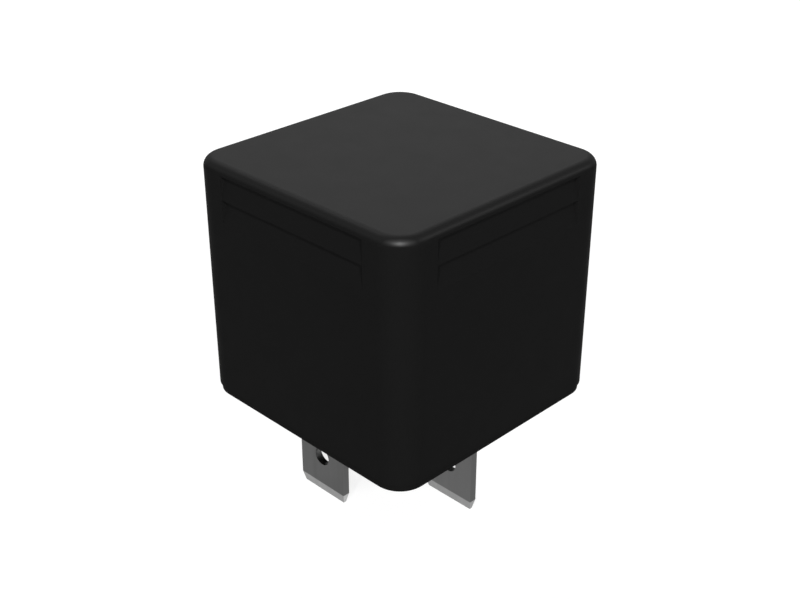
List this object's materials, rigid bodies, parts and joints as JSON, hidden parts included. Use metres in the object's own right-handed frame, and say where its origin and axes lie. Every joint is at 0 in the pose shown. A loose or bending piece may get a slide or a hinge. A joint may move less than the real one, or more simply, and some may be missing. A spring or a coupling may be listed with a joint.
{
  "type": "relay",
  "caption": "Plug-in cube relay: black push-on cover with stepped finger grips, flat blade terminals under a flanged base, and a hinged armature that switches a changeover contact.",
  "frame": {"origin": "middle of the base's underside, the face that seats on a socket", "axes": "+Z from the blades towards the cover's roof; blade 30 on +X and blade 87 on -X of the middle; coil blades 85 on -Y and 86 on +Y"},
  "size_m": [0.028, 0.028, 0.036],
  "materials": {
    "cover_plastic": "satin moulded, fine grain",
    "base_plastic": "satin moulded",
    "tinned_brass": "tin plated, satin",
    "contact_alloy": "silver alloy, satin",
    "spring_bronze": "rolled bronze, satin",
    "plated_steel": "zinc plated, satin",
    "bobbin_nylon": "natural nylon, satin",
    "enamelled_copper": "enamelled copper wire, glossy",
    "solder": "solder, bright"
  },
  "bodies": {
    "base": {"base": "base_plastic", "terminal_30": "tinned_brass", "terminal_85": "tinned_brass", "terminal_86": "tinned_brass", "terminal_87": "tinned_brass", "terminal_87a": "tinned_brass", "contact_no": "contact_alloy", "contact_nc": "contact_alloy", "yoke": "plated_steel", "core": "plated_steel", "bobbin": "bobbin_nylon", "coil_winding": "enamelled_copper", "coil_lead_85": "enamelled_copper", "coil_lead_86": "enamelled_copper", "solder_85": "solder", "solder_86": "solder"},
    "armature": {"armature": "plated_steel", "contact_spring": "spring_bronze", "moving_contact": "contact_alloy"},
    "cover": {"cover": "cover_plastic"}
  },
  "joints": [
    {"name": "armature_pivot", "type": "hinge", "parent": "base", "child": "armature", "pos_m": [0.0109, 0, 0.01862], "axis": [0, -1, 0], "range_deg": [0, 2.5], "stiffness_Nm_per_rad": 0.01, "springref_deg": -11.46, "deforming": ["contact_spring"]},
    {"name": "cover_lift", "type": "slide", "parent": "base", "child": "cover", "axis": [0, 0, 1], "range_m": [0, 0.026]}
  ]
}
